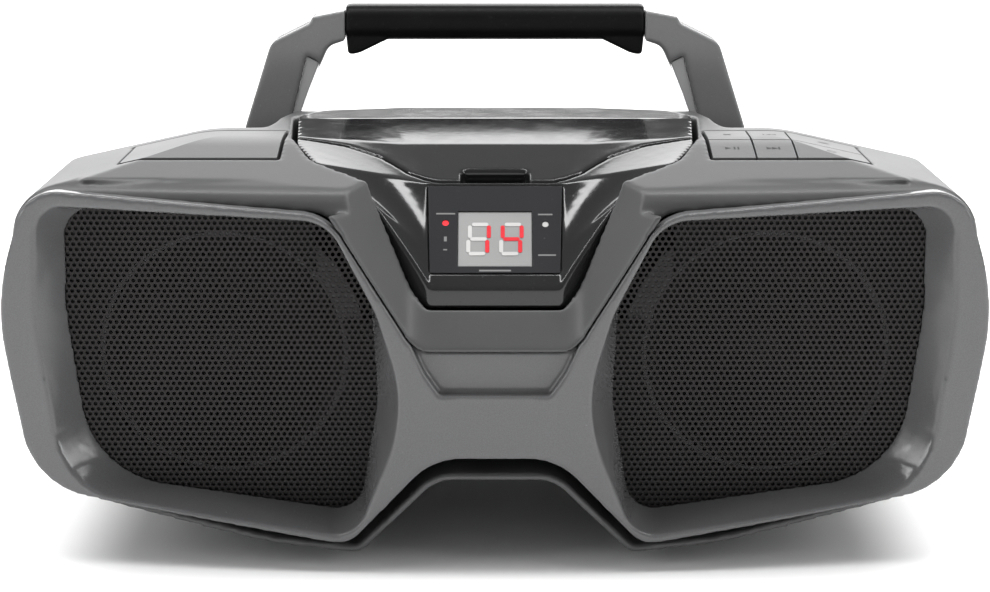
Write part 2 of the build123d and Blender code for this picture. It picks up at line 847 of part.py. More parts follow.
# Well that the disc lies in, with the flange that carries the trim
with BuildPart() as cd_well:
    add(deck_region(-wall, flange_top - 2.5, flange_top, door_travel_gap))
    add(box_between(-100, 100, -10, 42, 0, 2 * case_top), mode=Mode.SUBTRACT)
    add(handle_channel(wall + fit_gap), mode=Mode.SUBTRACT)
    for side in (-1, 1):
        left, right = sorted((side * (key_bay[0] - fit_gap), side * case_width))
        add(box_between(left, right, key_bay_rows[0] - 1, key_bay_rows[1] + 1, 0, 2 * case_top),
            mode=Mode.SUBTRACT)
    with Locations((0, y_at(disc_back), well_floor)):
        Cylinder(well_radius + 2.5, flange_top - well_floor, align=(Align.CENTER, Align.CENTER, Align.MIN))
    with Locations((0, y_at(disc_back), well_floor + 2.5)):
        Cylinder(well_radius, 40, align=(Align.CENTER, Align.CENTER, Align.MIN), mode=Mode.SUBTRACT)
    with Locations((0, y_at(disc_back), well_floor)):
        Cylinder(platter_radius + 3, 20, mode=Mode.SUBTRACT)
    add(box_between(0, well_radius - 0.5, disc_back - sled_slot, disc_back + sled_slot, 90, well_floor + 3),
        mode=Mode.SUBTRACT)
    for x in (-knuckle_x, knuckle_x):
        for side in (-1, 1):
            with BuildSketch(Plane.YZ.offset(x + side * (knuckle_length / 2 + 0.4 + ear_thickness / 2))):
                with Locations((y_at(hinge_back), hinge_height)):
                    Circle(knuckle_radius)
                with Locations((y_at(hinge_back), (flange_top - 1 + hinge_height) / 2)):
                    Rectangle(2 * knuckle_radius, hinge_height - flange_top + 1)
                with Locations((y_at(hinge_back), hinge_height)):
                    Circle(hinge_pin_radius + running_gap, mode=Mode.SUBTRACT)
            extrude(amount=ear_thickness / 2, both=True)
save(cd_well, "cd_well")

# Disc drive under the well
with BuildPart() as drive_chassis:
    add(box_between(-34, rail_end, disc_back - 26, disc_back + 26, chassis_floor - 2, chassis_floor))
    for x in (rail_start, rail_end - 2.5):
        for side in (-1, 1):
            back = disc_back + side * rail_offset
            add(box_between(x, x + 2.5, back - 3, back + 3, chassis_floor, well_floor - 0.6))
    with BuildSketch(Plane.YZ.offset(rail_start)):
        with Locations(*[(y_at(disc_back + s * rail_offset), rail_height) for s in (-1, 1)]):
            Circle(rail_radius + 0.03)
    extrude(amount=rail_end - rail_start, mode=Mode.SUBTRACT)
    with Locations((0, y_at(disc_back), chassis_floor)):
        Cylinder(shaft_radius + 0.5, 20, mode=Mode.SUBTRACT)
save(drive_chassis, "drive_chassis")

damper_places = [(x, y_at(disc_back + s * damper_offset)) for x in (-29, rail_end - 12) for s in (-1, 1)]
with BuildPart() as drive_dampers:
    with BuildSketch(Plane.XY.offset(chassis_floor)):
        with Locations(*damper_places):
            Circle(damper_radius)
    extrude(amount=well_floor - chassis_floor)
save(drive_dampers, "drive_dampers")

with BuildPart() as spindle_motor:
    with BuildSketch(Plane.XY.offset(chassis_floor - 2)):
        with Locations((0, y_at(disc_back))):
            Circle(10)
    extrude(amount=-9)
    with BuildSketch(Plane.XY.offset(chassis_floor - 2)):
        with Locations((0, y_at(disc_back))):
            Circle(shaft_radius + running_gap)
    extrude(amount=-5, mode=Mode.SUBTRACT)
save(spindle_motor, "spindle_motor")

with BuildPart() as turntable:
    with BuildSketch(Plane.XZ.offset(-y_at(disc_back))):
        with BuildLine():
            Polyline(
                (0, chassis_floor - 6.5),
                (shaft_radius, chassis_floor - 6.5),
                (shaft_radius, chassis_floor + 1),
                (5, chassis_floor + 1),
                (5, disc_height - 2),
                (platter_radius, disc_height - 2),
                (platter_radius, disc_height),
                (7.2, disc_height),
                (7.2, disc_height + 1.2),
                (5.6, disc_height + 2.6),
                (0, disc_height + 2.6),
                close=True,
            )
        make_face()
    revolve(axis=Axis((0, y_at(disc_back), 0), (0, 0, 1)))
save(turntable, "turntable")

with BuildPart() as sled_rails:
    with BuildSketch(Plane.YZ.offset(rail_start)):
        with Locations(*[(y_at(disc_back + s * rail_offset), rail_height) for s in (-1, 1)]):
            Circle(rail_radius)
    extrude(amount=rail_end - rail_start)
save(sled_rails, "sled_rails")

with BuildPart() as pickup_sled:
    add(box_between(sled_start, sled_start + sled_length, disc_back - 20, disc_back + 20,
                    chassis_floor + 0.6, well_floor - 0.4))
    add(box_between(sled_start + 2, sled_start + sled_length - 4, disc_back - 9, disc_back + 9,
                    chassis_floor + 1, well_floor + 2.2))
    with BuildSketch(Plane.XY.offset(well_floor)):
        with Locations((sled_start + 7, y_at(disc_back))):
            Circle(3.2)
    extrude(amount=disc_height - well_floor - 2.6)
    with BuildSketch(Plane.YZ.offset(0)):
        with Locations(*[(y_at(disc_back + s * rail_offset), rail_height) for s in (-1, 1)]):
            Circle(rail_radius + running_gap)
    extrude(amount=100, mode=Mode.SUBTRACT)
save(pickup_sled, "pickup_sled")

# Carrying handle: side arms joined by a bar, inner linings, and a grip round the bar
arm_outer = [(grip_half + 0.3, 161.9), (68.7, 159.5), (69.2, 157.3), (84.2, 150), (95.2, 116.4), (95.2, 95)]
arm_outer_radii = (0.5, 0.5, 0.5, 6, 20, 1)
arm_inner = [(77.2, 95), (76, 116), (70.5, 131), (62.5, 148.6), (grip_half + 0.3, grip_floor)]
arm_inner_radii = (1, 20, 60, 5, 0.5)
lining_outline = [(77.2, 95), (76, 116), (70.5, 131), (65.8, 142.5), (70.9, 145), (74.6, 131), (78.6, 116), (80, 95)]
lining_radii = (1, 20, 60, 0.5, 0.5, 60, 20, 1)
cheek_outline = [(39, grip_floor + 1), (grip_half, grip_floor + 1), (55.4, 145), (51, 145.8)]


def handle_prism(points, radii, near, far):
    """Upright slab between two distances behind the front, cut to the given outline."""
    with BuildPart() as slab:
        with BuildSketch(upright(near)):
            with BuildLine():
                FilletPolyline(*points, radius=radii, close=True)
            make_face()
        extrude(amount=-(far - near))
    return slab.part


handle_front = pivot_back - handle_depth / 2
handle_rear = pivot_back + handle_depth / 2
with BuildPart() as foot_envelope:
    with BuildSketch(Plane.YZ):
        with Locations((y_at(pivot_back), pivot_height)):
            Circle(handle_foot_radius)
        with Locations((y_at(pivot_back), pivot_height + case_top / 2)):
            Rectangle(handle_depth, case_top)
    extrude(amount=case_width, both=True)
with BuildPart() as handle_frame:
    add(handle_prism(arm_outer + arm_inner, arm_outer_radii + arm_inner_radii, handle_front, handle_rear))
    add(handle_prism(lining_outline, lining_radii, handle_front, handle_rear), mode=Mode.SUBTRACT)
    add(mirror(handle_frame.part, about=Plane.YZ))
    with BuildSketch(Plane.YZ):
        with Locations((y_at(pivot_back), (grip_top + grip_floor) / 2)):
            RectangleRounded(bar_size, bar_size, 2)
    extrude(amount=grip_half + 4, both=True)
    add(foot_envelope.part, mode=Mode.INTERSECT)
    with BuildSketch(Plane.YZ):
        with Locations((y_at(pivot_back), pivot_height)):
            Circle(pivot_pin_radius + running_gap)
    extrude(amount=case_width, both=True, mode=Mode.SUBTRACT)
save(handle_frame, "handle_frame")

with BuildPart() as handle_lining:
    add(handle_prism(lining_outline, lining_radii, handle_front + 0.5, handle_rear - 0.5))
    add(mirror(handle_lining.part, about=Plane.YZ))
    add(foot_envelope.part, mode=Mode.INTERSECT)
    with BuildSketch(Plane.YZ):
        with Locations((y_at(pivot_back), pivot_height)):
            Circle(pivot_pin_radius + running_gap)
    extrude(amount=case_width, both=True, mode=Mode.SUBTRACT)
save(handle_lining, "handle_lining")

with BuildPart() as handle_grip:
    with BuildSketch(Plane.YZ):
        with Locations((y_at(pivot_back), (grip_top + grip_floor) / 2)):
            RectangleRounded(grip_depth, grip_top - grip_floor, 5)
    extrude(amount=grip_half, both=True)
    with BuildSketch(upright(pivot_back)):
        with BuildLine():
            FilletPolyline(*cheek_outline, radius=(0.5, 0.5, 1.2, 6), close=True)
        make_face()
        mirror(about=Plane.YZ)
    extrude(amount=grip_depth / 2 - 1, both=True)
    with BuildSketch(Plane.YZ):
        with Locations((y_at(pivot_back), (grip_top + grip_floor) / 2)):
            RectangleRounded(bar_size + 0.1, bar_size + 0.1, 2)
    extrude(amount=grip_half, both=True, mode=Mode.SUBTRACT)
save(handle_grip, "handle_grip")

with BuildPart() as handle_pivots:
    for side in (-1, 1):
        with BuildSketch(Plane.YZ.offset(side * (slot_inner + slot_outer) / 2)):
            with Locations((y_at(pivot_back), pivot_height)):
                Circle(pivot_pin_radius)
        extrude(amount=(slot_outer - slot_inner) / 2 + wall, both=True)
save(handle_pivots, "handle_pivots")

# Six transport keys on the right, one blank panel on the left
key_names = (("play_key", "next_key", "mode_key"), ("stop_key", "previous_key", "repeat_key"))
for row, names in enumerate(key_names):
    for column, name in enumerate(names):
        left, right = key_columns[column] + key_inset, key_columns[column + 1] - key_inset
        near, far = key_rows[row] + key_inset, key_rows[row + 1] - key_inset
        with BuildPart() as key:
            add(box_between(left, right, near, far, key_foot, case_top + 10) & case_skin)
            with BuildSketch(Plane.XY.offset(key_foot)):
                with Locations(((left + right) / 2, y_at((near + far) / 2))):
                    Circle(2.5)
            extrude(amount=switch_top + key_travel + 0.3 - key_foot)
        save(key, name)

with BuildPart() as key_board:
    add(box_between(*key_board_edge, key_bay_rows[0] - board_lip, key_bay_rows[1] + board_lip,
                    board_top - board_thickness, board_top))
    for row in range(2):
        for column in range(3):
            x = (key_columns[column] + key_columns[column + 1]) / 2
            back = (key_rows[row] + key_rows[row + 1]) / 2
            add(box_between(x - 3, x + 3, back - 3, back + 3, board_top, switch_top))
save(key_board, "key_board")

with BuildPart() as left_panel:
    panel_box = box_between(-key_columns[-1] + key_inset, -key_columns[0] - key_inset, key_rows[0] + key_inset,
                            key_rows[-1] - key_inset, key_foot, case_top + 10)
    add(panel_box & case_skin)
save(left_panel, "left_panel")

# Volume wheel on the right, turning on its control
with BuildPart() as volume_wheel:
    with BuildSketch(Plane.XY.offset(wheel_height - wheel_thickness / 2)):
        with Locations((wheel_x, y_at(wheel_back))):
            Circle(wheel_radius)
            with PolarLocations(wheel_radius + 0.3, 36):
                Circle(0.7, mode=Mode.SUBTRACT)
    extrude(amount=wheel_thickness)
    with BuildSketch(Plane.XY.offset(wheel_height - wheel_thickness / 2)):
        with Locations((wheel_x, y_at(wheel_back))):
            Circle(2)
    extrude(amount=-6)
save(volume_wheel, "volume_wheel")

with BuildPart() as volume_control:
    wheel_base = wheel_height - wheel_thickness / 2 - 0.5
    add(box_between(wheel_x - 8, flank_x(wheel_back + 8) - wall - fit_gap, wheel_back - 8, wheel_back + 8,
                    wheel_base - 6, wheel_base))
    with BuildSketch(Plane.XY.offset(wheel_base)):
        with Locations((wheel_x, y_at(wheel_back))):
            Circle(2 + running_gap)
    extrude(amount=-6, mode=Mode.SUBTRACT)
save(volume_control, "volume_control")

# Battery box, its cover and its contact springs
with BuildPart() as battery_box:
    add(box_between(-bay_half_width - 2, bay_half_width + 2, bay_front - 2, case_depth - wall,
                    bay_low - 2, bay_high + 2))
    add(box_between(-bay_half_width, bay_half_width, bay_front, case_depth + 5, bay_low, bay_high),
        mode=Mode.SUBTRACT)
save(battery_box, "battery_box")

with BuildPart() as battery_cover:
    add(box_between(-bay_half_width + fit_gap, bay_half_width - fit_gap, case_depth - wall - 1, case_depth,
                    bay_low + fit_gap, bay_high - fit_gap))
    with Locations((0, y_at(case_depth), bay_high - 6)):
        Box(24, 2, 5, mode=Mode.SUBTRACT)
save(battery_cover, "battery_cover")

with BuildPart() as battery_contacts:
    for side in (-1, 1):
        for level in (0.28, 0.72):
            z = bay_low + level * (bay_high - bay_low)
            with BuildSketch(Plane.YZ.offset(side * bay_half_width)):
                with Locations((y_at(bay_front + 14), z), (y_at(bay_front + 40), z)):
                    Rectangle(11, 9)
            extrude(amount=-side * 0.6)
save(battery_contacts, "battery_contacts")

# Mains inlet, line socket, transformer and main board
with BuildPart() as mains_inlet:
    add(box_between(-inlet_x - inlet_width / 2, -inlet_x + inlet_width / 2, case_depth - 22, case_depth,
                    inlet_z - inlet_height / 2, inlet_z + inlet_height / 2))
    with BuildSketch(upright(case_depth)):
        with Locations((-inlet_x, inlet_z)):
            SlotOverall(inlet_width - 4, inlet_height - 5)
    extrude(amount=14, mode=Mode.SUBTRACT)
    with BuildSketch(upright(case_depth - 14)):
        with Locations((-inlet_x - 4.2, inlet_z), (-inlet_x + 4.2, inlet_z)):
            Circle(1.2)
    extrude(amount=-10)
save(mains_inlet, "mains_inlet")

with BuildPart() as line_socket:
    with BuildSketch(upright(case_depth)):
        with Locations((jack_x, inlet_z)):
            Circle(jack_radius)
    extrude(amount=wall + 1)
    add(box_between(jack_x - 6, jack_x + 6, case_depth - 16, case_depth - wall - fit_gap,
                    inlet_z - 6, inlet_z + 6))
    with BuildSketch(upright(case_depth)):
        with Locations((jack_x, inlet_z)):
            Circle(1.8)
    extrude(amount=14, mode=Mode.SUBTRACT)
save(line_socket, "line_socket")

with BuildPart() as transformer:
    add(box_between(-112, -64, 112, 152, board_floor, board_floor + 40))
    add(box_between(-106, -70, 102, 162, board_floor + 10, board_floor + 30))
save(transformer, "transformer")

with BuildPart() as main_board:
    add(box_between(board_left, board_right, board_front, board_rear, board_floor - board_thickness, board_floor))
    add(box_between(-114, -92, 93, 100, board_floor, board_floor + 14))
    with BuildSketch(Plane.XY.offset(board_floor)):
        with Locations((-68, y_at(96.5)), (-82, y_at(96.5))):
            Circle(5)
    extrude(amount=16)
save(main_board, "main_board")

# Rubber feet and case screws
with BuildPart() as rubber_feet:
    for x, back in foot_places:
        with Locations((x, y_at(back), 0)):
            Cylinder(foot_radius, 20, align=(Align.CENTER, Align.CENTER, Align.MIN))
    add(case_skin, mode=Mode.SUBTRACT)
    add(box_between(-200, 200, -20, case_depth + 20, 12, 40), mode=Mode.SUBTRACT)
save(rubber_feet, "rubber_feet")

with BuildPart() as case_screws:
    for x, back in boss_places:
        with BuildSketch(Plane.XY.offset(screw_seat)):
            with Locations((x, y_at(back))):
                Circle(screw_radius)
        extrude(amount=parting_height - screw_seat + 10)
        with BuildSketch(Plane.XY.offset(screw_seat)):
            with Locations((x, y_at(back))):
                Circle(screw_head_radius)
        extrude(amount=-2.2)
save(case_screws, "case_screws")
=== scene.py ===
"""Dresses a portable disc player: finishes, soft shells, perforated grilles, marks, studio and camera."""

import logging
import math
from dataclasses import dataclass, field, replace
from enum import Enum

import bmesh
import bpy
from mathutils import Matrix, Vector
from mathutils.bvhtree import BVHTree


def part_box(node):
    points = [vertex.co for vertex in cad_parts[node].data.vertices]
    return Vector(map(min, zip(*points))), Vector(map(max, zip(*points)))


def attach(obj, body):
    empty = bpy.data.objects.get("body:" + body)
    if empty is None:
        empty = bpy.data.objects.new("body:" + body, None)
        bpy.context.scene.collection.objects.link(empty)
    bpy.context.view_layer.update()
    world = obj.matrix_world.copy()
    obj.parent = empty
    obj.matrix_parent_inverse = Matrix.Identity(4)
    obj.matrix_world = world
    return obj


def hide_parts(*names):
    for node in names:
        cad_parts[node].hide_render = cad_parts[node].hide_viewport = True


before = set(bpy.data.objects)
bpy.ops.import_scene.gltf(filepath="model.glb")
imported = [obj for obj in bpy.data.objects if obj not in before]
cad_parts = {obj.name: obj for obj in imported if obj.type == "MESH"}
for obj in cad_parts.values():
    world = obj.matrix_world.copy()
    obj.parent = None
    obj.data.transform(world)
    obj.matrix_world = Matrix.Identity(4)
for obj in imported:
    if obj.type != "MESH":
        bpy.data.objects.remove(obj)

log = logging.getLogger("disc_player")

Colour = tuple[float, float, float]
Point = tuple[float, float, float]
Spot = tuple[float, float]
Band = tuple[float, float]
Outline = tuple[Spot, ...]
Faces = list[tuple[int, ...]]

MM = 0.001
MICRONS = 1e6
MICRON_DIGITS = 6
CASE_DEPTH = 229.0

# Corners of a square round its middle
SQUARE = ((-1, -1), (1, -1), (1, 1), (-1, 1))


def y_at(back: float) -> float:
    """Y in metres of a place that lies this many millimetres behind the front."""
    return (back - CASE_DEPTH / 2) * MM


def ring(x: float, y: float, radius: float, angles: list[float]) -> list[Spot]:
    """Spots at the given angles of a circle round a place."""
    return [(x + radius * math.cos(a), y + radius * math.sin(a)) for a in angles]


def turn_of(start: Spot, middle: Spot, end: Spot) -> float:
    """Twice the area that three spots span, above 0 where the way over them turns left."""
    ahead = (middle[0] - start[0]) * (end[1] - start[1])
    return ahead - (middle[1] - start[1]) * (end[0] - start[0])


def shifted(tint: Colour, factor: float, lift: float = 0.0) -> Colour:
    """Tint with each part scaled and then lifted, and none over 1."""
    return tuple(min(1.0, part * factor + lift) for part in tint)


class Shade:
    """A shader socket that takes part in arithmetic, each operator adding its Math node."""

    def __init__(self, graph: "Graph", socket: bpy.types.NodeSocket) -> None:
        """Wraps an output socket of one of the graph's nodes."""
        self.graph = graph
        self.socket = socket

    def _math(self, operation: str, first: "Shade | float", second: "Shade | float") -> "Shade":
        """Result of a Math node on two values or sockets."""
        return self.graph.node("ShaderNodeMath", {"operation": operation}, {0: first, 1: second})["Value"]

    def __add__(self, other: "Shade | float") -> "Shade":
        """Sum with a value or a socket."""
        return self._math("ADD", self, other)

    def __radd__(self, other: float) -> "Shade":
        """Sum with a value on the left."""
        return self._math("ADD", other, self)

    def __sub__(self, other: "Shade | float") -> "Shade":
        """Difference from a value or a socket."""
        return self._math("SUBTRACT", self, other)

    def __rsub__(self, other: float) -> "Shade":
        """Value on the left less this socket."""
        return self._math("SUBTRACT", other, self)

    def __mul__(self, other: "Shade | float") -> "Shade":
        """Product with a value or a socket."""
        return self._math("MULTIPLY", self, other)

    def __rmul__(self, other: float) -> "Shade":
        """Product with a value on the left."""
        return self._math("MULTIPLY", other, self)

    def __gt__(self, other: "Shade | float") -> "Shade":
        """1 where this socket is larger, else 0."""
        return self._math("GREATER_THAN", self, other)

    def within(self, low: float, high: float) -> "Shade":
        """Maps low to 0 and high to 1, and stays between them."""
        values = {"Value": self, "From Min": low, "From Max": high}
        return self.graph.node("ShaderNodeMapRange", {"clamp": True}, values)["Result"]


# Numbers of the colour sockets of a Mix node, whose names aren't unique
MIX_AMOUNT = 0
MIX_FIRST = 6
MIX_SECOND = 7

BEVEL_SAMPLES = 6


class Graph:
    """One material's nodes."""

    def __init__(self, name: str) -> None:
        """Makes an empty material.

        Args:
            name: The material's name.
        """
        self.material = bpy.data.materials.new(name)
        self.material.use_nodes = True
        self.tree = self.material.node_tree
        self.tree.nodes.clear()

    def node(self, kind: str, settings: dict | None = None, inputs: dict | None = None) -> dict[str, Shade]:
        """Adds any node: its settings first, then the values or links of its sockets.

        Args:
            kind: The node's type.
            settings: Properties of the node.
            inputs: Values or links, by socket name or number.

        Returns:
            The node's outputs by name.
        """
        made = self.tree.nodes.new(kind)
        for key, value in (settings or {}).items():
            setattr(made, key, value)
        for key, value in (inputs or {}).items():
            socket = made.inputs[key]
            if isinstance(value, Shade):
                self.tree.links.new(value.socket, socket)
            elif isinstance(value, tuple) and len(value) == 3 and len(socket.default_value) == 4:
                socket.default_value = (*value, 1.0)
            else:
                socket.default_value = value
        outputs: dict[str, Shade] = {}
        for output in made.outputs:
            if output.enabled and output.name not in outputs:
                outputs[output.name] = Shade(self, output)
        return outputs

    def place(self) -> Shade:
        """Place on the object, in metres."""
        return self.node("ShaderNodeTexCoord")["Object"]

    def stretched(self, scale: Point) -> Shade:
        """Place on the object, scaled along each axis."""
        return self.node("ShaderNodeMapping", None, {"Vector": self.place(), "Scale": scale})["Vector"]

    def noise(
        self,
        grain: float,
        detail: float = 3.0,
        roughness: float = 0.5,
        place: Shade | None = None,
    ) -> Shade:
        """Noise whose grains have the given size.

        Args:
            grain: Size of a grain in metres.
            detail: Octaves.
            roughness: Share that the finer octaves keep.
            place: Place to read it at, else the place on the object.

        Returns:
            Noise from 0 to 1.
        """
        values = {
            "Vector": place or self.place(),
            "Scale": 1.0 / grain,
            "Detail": detail,
            "Roughness": roughness,
        }
        return self.node("ShaderNodeTexNoise", None, values)["Fac"]

    def cells(self, grain: float, feature: str = "F1") -> Shade:
        """Distance in a field of cells that are as large as the grain."""
        values = {"Vector": self.place(), "Scale": 1.0 / grain}
        return self.node("ShaderNodeTexVoronoi", {"feature": feature}, values)["Distance"]

    def mix(self, amount: Shade | float, first: Shade | Colour, second: Shade | Colour) -> Shade:
        """Blend of two colours, the first where the amount is 0 and the second where it is 1."""
        inputs = {MIX_AMOUNT: amount, MIX_FIRST: first, MIX_SECOND: second}
        return self.node("ShaderNodeMix", {"data_type": "RGBA"}, inputs)["Result"]

    def relief(self, height: Shade, depth: float, edge: float = 0.0) -> Shade:
        """Normal of a fine relief over softly rounded edges.

        Args:
            height: Relief from 0 to 1.
            depth: Depth of the relief in metres.
            edge: Radius that the edges seem to have.

        Returns:
            The normal.
        """
        inputs = {"Height": height, "Distance": depth, "Strength": 1.0}
        if edge:
            bevel = self.node("ShaderNodeBevel", {"samples": BEVEL_SAMPLES}, {"Radius": edge})
            inputs["Normal"] = bevel["Normal"]
        return self.node("ShaderNodeBump", None, inputs)["Normal"]

    def surface(self, **inputs: object) -> bpy.types.Material:
        """Closes the graph with a Principled shader.

        Args:
            inputs: Socket values, underscores for spaces.

        Returns:
            The finished material.
        """
        named = {key.replace("_", " "): value for key, value in inputs.items()}
        shader = self.node("ShaderNodeBsdfPrincipled", None, named)["BSDF"]
        self.node("ShaderNodeOutputMaterial", None, {"Surface": shader})
        return self.material


@dataclass(frozen=True)
class MouldedPlastic:
    """Moulded plastic with a fine grain, faint clouding and specks of dust."""

    name: str
    tint: Colour
    roughness: float = 0.5
    roughness_drop: float = 0.04
    grain: float = 0.45 * MM
    depth: float = 0.018 * MM
    cell_share: float = 0.7
    noise_share: float = 0.5
    noise_spread: float = 2.5
    clouding: float = 0.12
    cloud_size: float = 26 * MM
    cloud_lift: float = 0.004
    cloud_roughness: float = 0.10
    dust: float = 0.10
    speck_size: float = 1.3 * MM
    speck_band: Band = (0.62, 0.80)
    speck_roughness: float = 0.06
    edge: float = 0.5 * MM
    shine: float = 0.5

    def material(self) -> bpy.types.Material:
        """Builds the finish.

        Returns:
            Its material.
        """
        graph = Graph(self.name)
        clouds = graph.noise(self.cloud_size, detail=2.0)
        specks = graph.noise(self.speck_size, detail=2.0).within(*self.speck_band)
        cells = graph.cells(self.grain)
        pits = graph.noise(self.grain * self.noise_spread)
        lighter = shifted(self.tint, 1 + 2 * self.clouding, lift=self.cloud_lift)
        dusty = shifted(self.tint, 0.6, lift=0.10)
        base = self.roughness - self.roughness_drop
        return graph.surface(
            Base_Color=graph.mix(specks * self.dust, graph.mix(clouds, self.tint, lighter), dusty),
            Roughness=clouds * self.cloud_roughness + specks * self.speck_roughness + base,
            Normal=graph.relief(cells * self.cell_share + pits * self.noise_share, self.depth, self.edge),
            Specular_IOR_Level=self.shine,
        )


@dataclass(frozen=True)
class GlossyPlastic:
    """Polished plastic: a slow waviness, faint wipe marks, flakes, dust and a few fine scratches."""

    name: str
    tint: Colour
    roughness: float = 0.12
    waviness: float = 0.010 * MM
    wave_size: float = 2.6 * MM
    smudge: float = 0.06
    smear_size: float = 9 * MM
    smear_band: Band = (0.42, 0.75)
    flake: float = 0.0
    flake_size: float = 0.30 * MM
    flake_band: Band = (0.1, 0.6)
    dust: float = 0.12
    speck_size: float = 1.1 * MM
    speck_band: Band = (0.70, 0.80)
    speck_roughness: float = 0.15
    scratch_size: float = 0.22 * MM
    scratch_pull: Point = (1.0, 0.06, 0.35)
    scratch_band: Band = (0.66, 0.78)
    scratch_roughness: float = 0.05
    edge: float = 0.6 * MM
    shine: float = 0.5

    def material(self) -> bpy.types.Material:
        """Builds the finish.

        Returns:
            Its material.
        """
        graph = Graph(self.name)
        smears = graph.noise(self.smear_size, detail=4.0, roughness=0.65).within(*self.smear_band)
        flakes = graph.cells(self.flake_size).within(*self.flake_band)
        specks = graph.noise(self.speck_size, detail=1.0).within(*self.speck_band)
        drawn = graph.stretched(self.scratch_pull)
        scratches = graph.noise(self.scratch_size, detail=2.0, place=drawn).within(*self.scratch_band)
        waves = graph.noise(self.wave_size, detail=1.0)
        bright = shifted(self.tint, 1 + self.flake)
        dusty = shifted(self.tint, 0.7, lift=0.06)
        wear = smears * self.smudge + scratches * self.scratch_roughness + specks * self.speck_roughness
        return graph.surface(
            Base_Color=graph.mix(specks * self.dust, graph.mix(flakes, self.tint, bright), dusty),
            Roughness=wear + self.roughness,
            Normal=graph.relief(waves, self.waviness, self.edge),
            Specular_IOR_Level=self.shine,
        )


@dataclass(frozen=True)
class Metal:
    """Bare metal drawn in one direction."""

    name: str
    tint: Colour
    roughness: float = 0.3
    roughness_drop: float = 0.08
    line_size: float = 0.25 * MM
    line_pull: Point = (0.05, 1.0, 1.0)
    line_shade: float = 0.7
    line_roughness: float = 0.2
    line_depth: float = 0.006 * MM
    edge: float = 0.2 * MM

    def material(self) -> bpy.types.Material:
        """Builds the finish.

        Returns:
            Its material.
        """
        graph = Graph(self.name)
        drawn = graph.stretched(self.line_pull)
        lines = graph.noise(self.line_size, detail=3.0, roughness=0.6, place=drawn)
        return graph.surface(
            Base_Color=graph.mix(lines, shifted(self.tint, self.line_shade), self.tint),
            Roughness=lines * self.line_roughness + (self.roughness - self.roughness_drop),
            Metallic=1.0,
            Normal=graph.relief(lines, self.line_depth, self.edge),
        )


@dataclass(frozen=True)
class PressedPaper:
    """Pressed paper of a loudspeaker cone, with fibres."""

    name: str
    tint: Colour
    roughness: float = 0.6
    fibre_size: float = 0.9 * MM
    fibre_shade: float = 2.2
    fibre_roughness: float = 0.2
    fibre_depth: float = 0.05 * MM

    def material(self) -> bpy.types.Material:
        """Builds the finish.

        Returns:
            Its material.
        """
        graph = Graph(self.name)
        fibres = graph.noise(self.fibre_size, detail=5.0, roughness=0.7)
        return graph.surface(
            Base_Color=graph.mix(fibres, self.tint, shifted(self.tint, self.fibre_shade)),
            Roughness=fibres * self.fibre_roughness + self.roughness,
            Normal=graph.relief(fibres, self.fibre_depth),
        )


@dataclass(frozen=True)
class CircuitBoard:
    """Printed board with copper runs under a lacquer."""

    name: str
    tint: Colour
    roughness: float = 0.35
    run_size: float = 4 * MM
    run_band: Band = (0.10, 0.05)
    run_gloss: float = 0.1
    run_depth: float = 0.03 * MM

    def material(self) -> bpy.types.Material:
        """Builds the finish.

        Returns:
            Its material.
        """
        graph = Graph(self.name)
        runs = graph.cells(self.run_size, "DISTANCE_TO_EDGE").within(*self.run_band)
        return graph.surface(
            Base_Color=graph.mix(runs, self.tint, shifted(self.tint, 1.7, lift=0.02)),
            Roughness=self.roughness - runs * self.run_gloss,
            Normal=graph.relief(runs, self.run_depth),
        )


@dataclass(frozen=True)
class LitBar:
    """Lit bar of a number display."""

    name: str
    tint: Colour
    strength: float = 1.0
    roughness: float = 0.3
    glow_size: float = 2 * MM
    glow_shade: float = 0.75
    glow_roughness: float = 0.1

    def material(self) -> bpy.types.Material:
        """Builds the finish.

        Returns:
            Its material.
        """
        graph = Graph(self.name)
        glow = graph.noise(self.glow_size, detail=1.0)
        colour = graph.mix(glow, shifted(self.tint, self.glow_shade), self.tint)
        return graph.surface(
            Base_Color=colour,
            Roughness=glow * self.glow_roughness + self.roughness,
            Emission_Color=colour,
            Emission_Strength=self.strength,
        )


@dataclass(frozen=True)
class LampPair:
    """Two small lamps of one piece: the left one is lit, the right one is off but has a faint painted glow.
    """

    name: str
    lit: Colour
    unlit: Colour
    strength: float = 1.0
    roughness: float = 0.3
    painted_off_glow: float = 0.15

    def material(self) -> bpy.types.Material:
        """Builds the finish.

        Returns:
            Its material.
        """
        graph = Graph(self.name)
        right = graph.node("ShaderNodeSeparateXYZ", None, {"Vector": graph.place()})["X"] > 0.0
        return graph.surface(
            Base_Color=graph.mix(right, self.lit, self.unlit),
            Roughness=self.roughness,
            # The off lamp emits a dimmed copy of its colour: a painted glow that makes it look paler than
            # its lighting gives
            Emission_Color=graph.mix(right, self.lit, shifted(self.unlit, self.painted_off_glow)),
            Emission_Strength=self.strength,
        )


